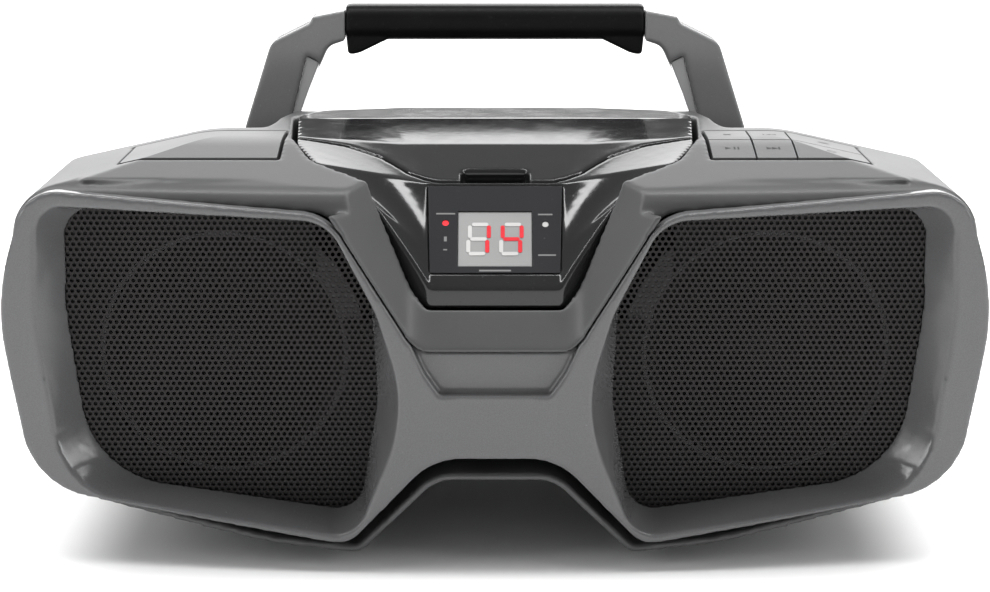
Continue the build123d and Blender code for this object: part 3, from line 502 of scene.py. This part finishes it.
class Finish(Enum):
    """The finishes of the player."""

    HOUSING = MouldedPlastic("housing_matte", (0.050, 0.050, 0.051), roughness=0.38)
    KEYS = MouldedPlastic("key_matte", (0.075, 0.075, 0.076), roughness=0.40, edge=0.35 * MM)
    INSIDE = MouldedPlastic("inside_matte", (0.006, 0.006, 0.006), roughness=0.55, grain=0.8 * MM)
    GRIP = MouldedPlastic(
        "grip_black",
        (0.0015, 0.0015, 0.0018),
        roughness=0.42,
        grain=0.6 * MM,
        edge=0.8 * MM,
        shine=0.15,
    )
    RUBBER = MouldedPlastic(
        "soft_rubber",
        (0.012, 0.012, 0.012),
        roughness=0.8,
        grain=0.7 * MM,
        depth=0.04 * MM,
    )
    BEZEL = GlossyPlastic("bezel_gunmetal", (0.078, 0.078, 0.080), roughness=0.11, flake=0.3)
    DECK = GlossyPlastic("deck_lacquer", (0.012, 0.012, 0.0125), roughness=0.08)
    HANDLE = GlossyPlastic("handle_gunmetal", (0.15, 0.15, 0.152), roughness=0.15, flake=0.15)
    LINING = GlossyPlastic("handle_strip_gloss", (0.36, 0.36, 0.362), roughness=0.18, flake=0.05)
    PANEL = GlossyPlastic("panel_smoke", (0.022, 0.022, 0.024), roughness=0.08, edge=0.2 * MM, shine=0.4)
    FACE = MouldedPlastic("window_face", (0.21, 0.21, 0.208), roughness=0.35, depth=0.004 * MM, dust=0.0)
    UNLIT = MouldedPlastic(
        "unlit_bars",
        (0.40, 0.395, 0.39),
        roughness=0.4,
        depth=0.002 * MM,
        dust=0.0,
        edge=0.0,
    )
    LIT = LitBar("lit_bars", (0.52, 0.004, 0.014), 0.36)
    LAMP = LampPair("lamps", (0.75, 0.012, 0.02), (0.42, 0.42, 0.41), 0.6)
    MESH = MouldedPlastic(
        "grille_paint",
        (0.012, 0.0100, 0.0096),
        roughness=0.50,
        grain=0.5 * MM,
        edge=0.0,
        shine=0.25,
    )
    PAPER = PressedPaper("pressed_paper", (0.016, 0.015, 0.015))
    STEEL = Metal("bright_steel", (0.62, 0.62, 0.61), 0.28)
    DARK_STEEL = Metal("dark_steel", (0.16, 0.16, 0.165), 0.45)
    FERRITE = MouldedPlastic("sintered_ferrite", (0.03, 0.03, 0.032), roughness=0.6, grain=0.3 * MM)
    CORE = Metal("laminated_core", (0.30, 0.24, 0.15), 0.5)
    BOARD = CircuitBoard("lacquered_board", (0.015, 0.075, 0.028))
    PRINT = MouldedPlastic("printed_mark", (0.012, 0.012, 0.012), roughness=0.5, dust=0.0, edge=0.0)
    PALE_PRINT = MouldedPlastic("pale_print", (0.13, 0.13, 0.13), roughness=0.5, dust=0.0, edge=0.0)

    def material(self) -> bpy.types.Material:
        """The finish's material, made once."""
        return bpy.data.materials.get(self.value.name) or self.value.material()


NODE_FINISHES: dict[Finish, tuple[str, ...]] = {
    Finish.HOUSING: ("upper_housing", "lower_housing", "battery_cover"),
    Finish.BEZEL: ("front_bezel",),
    Finish.DECK: ("deck_trim", "cd_door"),
    Finish.PANEL: ("display_panel",),
    Finish.FACE: ("number_display",),
    Finish.LIT: ("lit_segments",),
    Finish.UNLIT: ("unlit_segments",),
    Finish.LAMP: ("status_lamps",),
    Finish.BOARD: ("display_board", "key_board", "main_board"),
    Finish.MESH: ("speaker_grille_left", "speaker_grille_right"),
    Finish.INSIDE: (
        "speaker_baffle",
        "cd_well",
        "drive_chassis",
        "turntable",
        "pickup_sled",
        "battery_box",
        "volume_wheel",
        "volume_control",
        "mains_inlet",
        "line_socket",
    ),
    Finish.DARK_STEEL: ("speaker_frame_left", "speaker_frame_right"),
    Finish.PAPER: ("speaker_cone_left", "speaker_cone_right"),
    Finish.FERRITE: ("speaker_magnet_left", "speaker_magnet_right"),
    Finish.STEEL: (
        "door_hinge_pins",
        "handle_pivots",
        "sled_rails",
        "spindle_motor",
        "battery_contacts",
        "case_screws",
    ),
    Finish.CORE: ("transformer",),
    Finish.RUBBER: ("rubber_feet", "drive_dampers"),
    Finish.HANDLE: ("handle_frame",),
    Finish.LINING: ("handle_lining",),
    Finish.GRIP: ("handle_grip",),
    Finish.KEYS: (
        "left_panel",
        "play_key",
        "next_key",
        "mode_key",
        "stop_key",
        "previous_key",
        "repeat_key",
    ),
}


def new_piece(name: str, points: list[Point], faces: Faces, finish: Finish) -> bpy.types.Object:
    """Makes a mesh piece at its place.

    Args:
        name: The piece's name.
        points: Corners in metres.
        faces: Corner numbers of each face.
        finish: Its finish.

    Returns:
        The new object.
    """
    mesh = bpy.data.meshes.new(name)
    mesh.from_pydata(points, [], faces)
    mesh.update()
    mesh.materials.append(finish.material())
    piece = bpy.data.objects.new(name, mesh)
    bpy.context.scene.collection.objects.link(piece)
    log.info("made %s with %d faces", name, len(faces))
    return piece


@dataclass
class CarriedNodes:
    """The construction's own nodes, dressed where they stand."""

    finishes: dict[Finish, tuple[str, ...]] = field(default_factory=lambda: dict(NODE_FINISHES))

    def build(self) -> None:
        """Gives each node its finish."""
        for finish, names in self.finishes.items():
            for name in names:
                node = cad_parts[name]
                node.data.materials.clear()
                node.data.materials.append(finish.material())
                log.info("dressed %s in %s", name, finish.value.name)


# Corner numbers of a block's six faces
BLOCK_FACES = ((0, 1, 3, 2), (4, 6, 7, 5), (0, 2, 6, 4), (1, 5, 7, 3), (0, 4, 5, 1), (2, 3, 7, 6))

WELD_REACH = 0.01 * MM
SMOOTH_SHARE = 0.5


@dataclass
class SoftShell:
    """A moulded shell with the soft edges of its tool: its node's form, remeshed and smoothed.

    Attributes:
        node: The node that the shell stands in for.
        body: The body that it rides on.
        slot: Name of a material slot; not used.
        finish: Its finish.
        grid: Size of the grid that it is remeshed on.
        passes: Rounds of smoothing.
        inset: How far the surface moves inwards, which opens a parting line.
        filler: Eight corners of a block that closes an opening of the node, if any.
    """

    node: str
    body: str
    slot: str
    finish: Finish
    grid: float
    passes: int
    inset: float = 0.0
    filler: tuple[Point, ...] = ()

    def source(self) -> bpy.types.Mesh:
        """Copies the node's mesh and joins the filler to it.

        Returns:
            The joined mesh.
        """
        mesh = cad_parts[self.node].data.copy()
        if self.filler:
            body = bmesh.new()
            body.from_mesh(mesh)
            spots = [body.verts.new(corner) for corner in self.filler]
            for face in BLOCK_FACES:
                body.faces.new([spots[k] for k in face])
            body.to_mesh(mesh)
            body.free()
        return mesh

    def build(self) -> bpy.types.Object:
        """Builds the soft form and lets it stand in for the node.

        Returns:
            The new object.
        """
        shape = bpy.data.objects.new(f"{self.node}_soft", self.source())
        bpy.context.scene.collection.objects.link(shape)
        weld = shape.modifiers.new("weld", "WELD")
        weld.merge_threshold = WELD_REACH
        grid = shape.modifiers.new("grid", "REMESH")
        grid.mode = "VOXEL"
        grid.voxel_size = self.grid
        grid.use_smooth_shade = True
        if self.inset:
            shrink = shape.modifiers.new("shrink", "DISPLACE")
            shrink.strength = -self.inset
            shrink.mid_level = 0.0
        smooth = shape.modifiers.new("smooth", "SMOOTH")
        smooth.factor = SMOOTH_SHARE
        smooth.iterations = self.passes
        depsgraph = bpy.context.evaluated_depsgraph_get()
        mesh = bpy.data.meshes.new_from_object(shape.evaluated_get(depsgraph))
        shape.modifiers.clear()
        shape.data = mesh
        mesh.materials.clear()
        mesh.materials.append(self.finish.material())
        log.info("softened %s to %d faces", self.node, len(mesh.polygons))
        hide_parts(self.node)
        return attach(shape, self.body)


# Block that fills the left flank's slot: places behind the front and half widths there, depths, heights
SLOT_ENDS = ((80.0, 152.86), (110.0, 148.26))
SLOT_DEPTHS = (0.2, 2.3)
SLOT_LEVELS = (66.4, 73.6)
LEFT_SLOT: tuple[Point, ...] = tuple(
    ((depth - flank) * MM, y_at(back), level * MM)
    for back, flank in SLOT_ENDS
    for depth in SLOT_DEPTHS
    for level in SLOT_LEVELS
)

SOFT_SHELLS: tuple[SoftShell, ...] = (
    SoftShell("upper_housing", "case", "housing", Finish.HOUSING, 0.75 * MM, 10, filler=LEFT_SLOT),
    SoftShell("lower_housing", "case", "housing", Finish.HOUSING, 1.1 * MM, 5),
    SoftShell("front_bezel", "case", "bezel_gloss", Finish.BEZEL, 0.65 * MM, 7),
    SoftShell("deck_trim", "case", "deck_gloss", Finish.DECK, 0.36 * MM, 34),
    SoftShell("cd_door", "door", "deck_gloss", Finish.DECK, 0.42 * MM, 26),
    SoftShell("handle_frame", "handle", "handle_gloss", Finish.HANDLE, 0.7 * MM, 9),
    SoftShell("handle_grip", "handle", "grip", Finish.GRIP, 0.7 * MM, 8),
    SoftShell("handle_lining", "handle", "handle_lining", Finish.LINING, 0.5 * MM, 2, inset=0.25 * MM),
)

# Half the height of a key's mark, in the units that KeyMark.size turns into metres
MARK_HALF = 0.7


def bar(left: float, right: float, low: float = -MARK_HALF, high: float = MARK_HALF) -> Outline:
    """Upright bar between two places across."""
    return ((left, low), (right, low), (right, high), (left, high))


def triangle(foot: float, tip: float) -> Outline:
    """Triangle from its foot to its tip, both places across."""
    return ((foot, -MARK_HALF), (foot, MARK_HALF), (tip, 0.0))


def arc(radius: float, width: float, start: float, stop: float, steps: int = 14) -> tuple[Outline, ...]:
    """Open ring made of short pieces.

    Args:
        radius: Radius of the ring's middle.
        width: Width of its line.
        start: First angle in degrees.
        stop: Last angle in degrees.
        steps: Number of pieces.

    Returns:
        The pieces' outlines.
    """
    turns = [math.radians(start + (stop - start) * k / steps) for k in range(steps + 1)]
    inner = ring(0.0, 0.0, radius - width / 2, turns)
    outer = ring(0.0, 0.0, radius + width / 2, turns)
    return tuple((inner[k], outer[k], outer[k + 1], inner[k + 1]) for k in range(steps))


KEY_MARKS: dict[str, tuple[Outline, ...]] = {
    "play_key": (triangle(-1.5, -0.2), bar(0.35, 0.75), bar(1.15, 1.55)),
    "next_key": (triangle(-1.7, -0.5), triangle(-0.5, 0.7), bar(0.85, 1.25)),
    "mode_key": (*arc(0.8, 0.3, 60, 340), ((0.45, 0.35), (1.35, 0.35), (0.9, -0.45))),
    "stop_key": (bar(-0.8, 0.8),),
    "previous_key": (triangle(1.7, 0.5), triangle(0.5, -0.7), bar(-1.25, -0.85)),
    "repeat_key": (bar(-1.2, 1.2, -0.6, -0.25), bar(-1.2, 1.2, 0.25, 0.6)),
}


@dataclass
class KeyMark:
    """Dark mark printed on a key, laid on the key's own surface.

    Attributes:
        key: The key's node.
        shapes: Outlines of the mark from the middle of the key.
        size: Metres in one unit of the outlines.
        lift: How far the mark lies over the key.
    """

    key: str
    shapes: tuple[Outline, ...]
    size: float = 1.5 * MM
    lift: float = 0.05 * MM

    def build(self) -> bpy.types.Object:
        """Builds the mark.

        Returns:
            The new object.
        """
        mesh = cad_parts[self.key].data
        top = BVHTree.FromPolygons([v.co for v in mesh.vertices], [tuple(p.vertices) for p in mesh.polygons])
        low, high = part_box(self.key)
        points: list[Point] = []
        faces: Faces = []
        for shape in self.shapes:
            faces.append(tuple(range(len(points), len(points) + len(shape))))
            for across, along in shape:
                x = (low.x + high.x) / 2 + across * self.size
                y = (low.y + high.y) / 2 + along * self.size
                hit = top.ray_cast(Vector((x, y, high.z + MM)), Vector((0, 0, -1)))[0]
                points.append((x, y, hit.z + self.lift))
        piece = new_piece(f"{self.key}_mark", points, faces, Finish.PRINT)
        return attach(piece, self.key.replace("_key", "_button"))


@dataclass
class DisplayMarks:
    """Plain pale ticks on the smoked panel, beside the lamps and under the number window.

    Attributes:
        foot: Place behind the front and height of the panel's lower edge.
        head: Place behind the front and height of its upper edge.
        lift: How far the ticks lie over the panel.
        ticks: Place across, place up the panel, width and height of each tick.
    """

    foot: tuple[float, float] = (14.0, 94.0)
    head: tuple[float, float] = (38.0, 119.2)
    lift: float = 0.04 * MM
    ticks: tuple[tuple[float, float, float, float], ...] = (
        (-15.7, 22.9, 6.0, 0.55),
        (16.0, 22.6, 4.6, 0.55),
        (16.4, 7.4, 5.6, 0.55),
        (-15.7, 13.4, 0.9, 1.8),
        (-15.7, 9.4, 1.2, 0.5),
        (0.0, 1.7, 10.0, 0.6),
    )

    def build(self) -> bpy.types.Object:
        """Builds the ticks as one printed piece.

        Returns:
            The new object.
        """
        run, rise = self.head[0] - self.foot[0], self.head[1] - self.foot[1]
        length = math.hypot(run, rise)
        up = Vector((0.0, run / length, rise / length))
        out = Vector((0.0, -rise / length, run / length))
        origin = Vector((0.0, y_at(self.foot[0]), self.foot[1] * MM)) + out * self.lift
        points: list[Point] = []
        faces: Faces = []
        for across, height, width, thickness in self.ticks:
            faces.append(tuple(range(len(points), len(points) + len(SQUARE))))
            for dx, dv in SQUARE:
                spot = origin + up * ((height + dv * thickness / 2) * MM)
                points.append((spot.x + (across + dx * width / 2) * MM, spot.y, spot.z))
        piece = new_piece("panel_ticks", points, faces, Finish.PALE_PRINT)
        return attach(piece, "case")


# Each hole of a grille stands in a hexagon of sheet, with its first corner at this angle
CELL_CORNERS = 6
FIRST_TURN = 30


@dataclass
class Grille:
    """Perforated sheet in front of one loudspeaker.

    Attributes:
        side: The side in the node's name.
        pitch: Distance between neighbouring holes.
        hole_radius: Radius of a hole.
        thickness: Thickness of the sheet.
        margin: Least distance from the outline to the middle of a hole.
        hole_sides: Number of a hole's sides.
    """

    side: str
    pitch: float = 1.95 * MM
    hole_radius: float = 0.66 * MM
    thickness: float = 0.7 * MM
    margin: float = 1.2 * MM
    hole_sides: int = 8

    def outline(self) -> list[Spot]:
        """Finds the sheet's outline from its node.

        Returns:
            The corners of the convex outline, anticlockwise.
        """
        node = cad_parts[f"speaker_grille_{self.side}"]
        places = [(v.co.x, v.co.z) for v in node.data.vertices]
        spots = sorted({(round(x, MICRON_DIGITS), round(z, MICRON_DIGITS)) for x, z in places})
        halves = []
        for row in (spots, spots[::-1]):
            half: list[Spot] = []
            for spot in row:
                while len(half) > 1 and turn_of(half[-2], half[-1], spot) <= 0:
                    half.pop()
                half.append(spot)
            halves.append(half[:-1])
        return halves[0] + halves[1]

    def inside(self, spot: Spot, outline: list[Spot]) -> bool:
        """Whether a spot lies inside the outline by at least the margin.

        Args:
            spot: Place across and up.
            outline: Corners, anticlockwise.

        Returns:
            True inside.
        """
        for start, end in zip(outline, outline[1:] + outline[:1]):
            length = math.hypot(end[0] - start[0], end[1] - start[1])
            if turn_of(start, end, spot) / length < self.margin:
                return False
        return True

    def build(self) -> bpy.types.Object:
        """Builds the sheet with its holes.

        Returns:
            The new object.
        """
        low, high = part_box(f"speaker_grille_{self.side}")
        outline = self.outline()
        front, rear = low.y, low.y + self.thickness
        corner = self.pitch / math.sqrt(3)
        row_step = self.pitch * math.sqrt(3) / 2
        hexagon = [math.radians(FIRST_TURN + 360 / CELL_CORNERS * k) for k in range(CELL_CORNERS)]
        sides = self.hole_sides
        circle = [math.radians(FIRST_TURN) + 2 * math.pi * k / sides for k in range(sides)]
        points: list[Point] = []
        faces: Faces = []
        shared: dict[tuple[int, int], int] = {}

        def rim(x: float, z: float) -> int:
            """Finds or makes a corner that neighbouring cells share.

            Args:
                x: Place across.
                z: Place up.

            Returns:
                The corner's number.
            """
            key = (round(x * MICRONS), round(z * MICRONS))
            if key not in shared:
                shared[key] = len(points)
                points.append((x, front, z))
            return shared[key]

        for row in range(int((high.z - low.z) / row_step) + 1):
            z = low.z + row * row_step
            for column in range(int((high.x - low.x) / self.pitch) + 1):
                x = low.x + (column + 0.5 * (row % 2)) * self.pitch
                if not self.inside((x, z), outline):
                    continue
                outer = [rim(*spot) for spot in ring(x, z, corner, hexagon)]
                start = len(points)
                hole = ring(x, z, self.hole_radius, circle)
                points += [(across, depth, up) for depth in (front, rear) for across, up in hole]
                faces += self.cell(outer, start)
        piece = new_piece(f"grille_mesh_{self.side}", points, faces, Finish.MESH)
        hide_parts(f"speaker_grille_{self.side}")
        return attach(piece, "case")

    def cell(self, outer: list[int], start: int) -> Faces:
        """Makes one cell: the sheet round the hole and the hole's wall.

        Args:
            outer: Numbers of the hexagon's corners.
            start: Number of the hole's first corner.

        Returns:
            The faces.
        """
        edges, sides = len(outer), self.hole_sides
        faces: Faces = []
        i = j = 0
        while i < edges or j < sides:
            if j >= sides or (i < edges and (i + 1) / edges <= (j + 1) / sides):
                faces.append((outer[i % edges], outer[(i + 1) % edges], start + j % sides))
                i += 1
            else:
                faces.append((outer[i % edges], start + (j + 1) % sides, start + j % sides))
                j += 1
        for k in range(sides):
            n = (k + 1) % sides
            faces.append((start + k, start + n, start + sides + n, start + sides + k))
        return faces


@dataclass(frozen=True)
class Softbox:
    """One soft light.

    Attributes:
        name: The light's name.
        spot: Where it hangs.
        target: Where it points.
        size: Width and height.
        power: Watts.
    """

    name: str
    spot: Point
    target: Point
    size: tuple[float, float]
    power: float

    def on_side(self, sign: int, side: str) -> "Softbox":
        """Moves the light to one side of the player.

        Args:
            sign: -1 for the left, 1 for the right.
            side: The side's word in the light's name.

        Returns:
            The light on that side.
        """
        spot = (sign * self.spot[0], *self.spot[1:])
        target = (sign * self.target[0], *self.target[1:])
        return replace(self, name=f"{side}_{self.name}", spot=spot, target=target)

    def build(self) -> None:
        """Adds the light."""
        light = bpy.data.lights.new(self.name, "AREA")
        light.shape = "RECTANGLE"
        light.size, light.size_y = self.size
        light.energy = self.power
        lamp = bpy.data.objects.new(self.name, light)
        lamp.location = self.spot
        lamp.rotation_euler = (Vector(self.target) - Vector(self.spot)).to_track_quat("-Z", "Y").to_euler()
        bpy.context.scene.collection.objects.link(lamp)


@dataclass
class Studio:
    """Pale floor, soft lights and the camera at the photograph's angle."""

    distance: float = 0.65
    pitch_down: float = 13.0
    camera_height: float = 0.24064
    lens: float = 78.95
    floor_size: float = 12.0
    floor_grain: float = 0.4
    floor_tints: tuple[Colour, Colour] = ((0.86, 0.86, 0.86), (0.90, 0.90, 0.90))
    floor_roughness: float = 0.7
    room_strength: float = 0.34
    sky_spread: float = 80.0
    sky_tilt: float = 24.0
    sky_power: float = 4.2
    rear_box: Softbox = Softbox("rear_box", (0.0, 1.45, 0.62), (0.0, 0.0, 0.10), (3.0, 0.8), 19.0)
    side_lights: tuple[Softbox, ...] = (
        Softbox("strip", (0.42, -0.10, 0.95), (0.05, 0.0, 0.10), (0.12, 0.9), 4.5),
        Softbox("box", (1.0, -0.45, 0.45), (0.0, 0.0, 0.08), (0.22, 0.6), 2.6),
    )

    def build(self) -> None:
        """Builds the floor, the lights and the camera."""
        self.floor()
        self.world()
        self.sky()
        self.rear_box.build()
        for sign, side in ((-1, "left"), (1, "right")):
            for light in self.side_lights:
                light.on_side(sign, side).build()
        self.camera()
        bpy.context.scene.view_settings.view_transform = "Standard"

    def floor(self) -> None:
        """Makes the pale floor."""
        half = self.floor_size / 2
        mesh = bpy.data.meshes.new("floor")
        mesh.from_pydata([(half * x, half * y, 0) for x, y in SQUARE], [], [(0, 1, 2, 3)])
        graph = Graph("floor_paint")
        paint = graph.mix(graph.noise(self.floor_grain, detail=2.0), *self.floor_tints)
        mesh.materials.append(graph.surface(Base_Color=paint, Roughness=self.floor_roughness))
        floor = bpy.data.objects.new("floor", mesh)
        bpy.context.scene.collection.objects.link(floor)

    def world(self) -> None:
        """Makes the plain surroundings."""
        world = bpy.data.worlds.new("studio")
        bpy.context.scene.world = world
        world.use_nodes = True
        background = world.node_tree.nodes["Background"]
        background.inputs["Color"].default_value = (1.0, 1.0, 1.0, 1.0)
        background.inputs["Strength"].default_value = self.room_strength

    def sky(self) -> None:
        """Adds the wide soft light that hangs over the floor, a little behind."""
        light = bpy.data.lights.new("sky", "SUN")
        light.angle = math.radians(self.sky_spread)
        light.energy = self.sky_power
        lamp = bpy.data.objects.new("sky", light)
        lamp.rotation_euler = (math.radians(-self.sky_tilt), 0.0, 0.0)
        lamp.visible_glossy = False
        bpy.context.scene.collection.objects.link(lamp)

    def camera(self) -> None:
        """Makes the camera."""
        data = bpy.data.cameras.new("camera")
        data.lens = self.lens
        camera = bpy.data.objects.new("camera", data)
        camera.location = (0.0, y_at(0) - self.distance, self.camera_height)
        camera.rotation_euler = (math.radians(90 - self.pitch_down), 0.0, 0.0)
        bpy.context.scene.collection.objects.link(camera)
        bpy.context.scene.camera = camera


def main() -> None:
    """Builds the scene."""
    logging.basicConfig(level=logging.INFO)
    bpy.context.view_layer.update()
    CarriedNodes().build()
    for shell in SOFT_SHELLS:
        shell.build()
    for key, shapes in KEY_MARKS.items():
        KeyMark(key, shapes).build()
    DisplayMarks().build()
    for side in ("left", "right"):
        Grille(side).build()
    Studio().build()


if __name__ == "__main__":
    main()
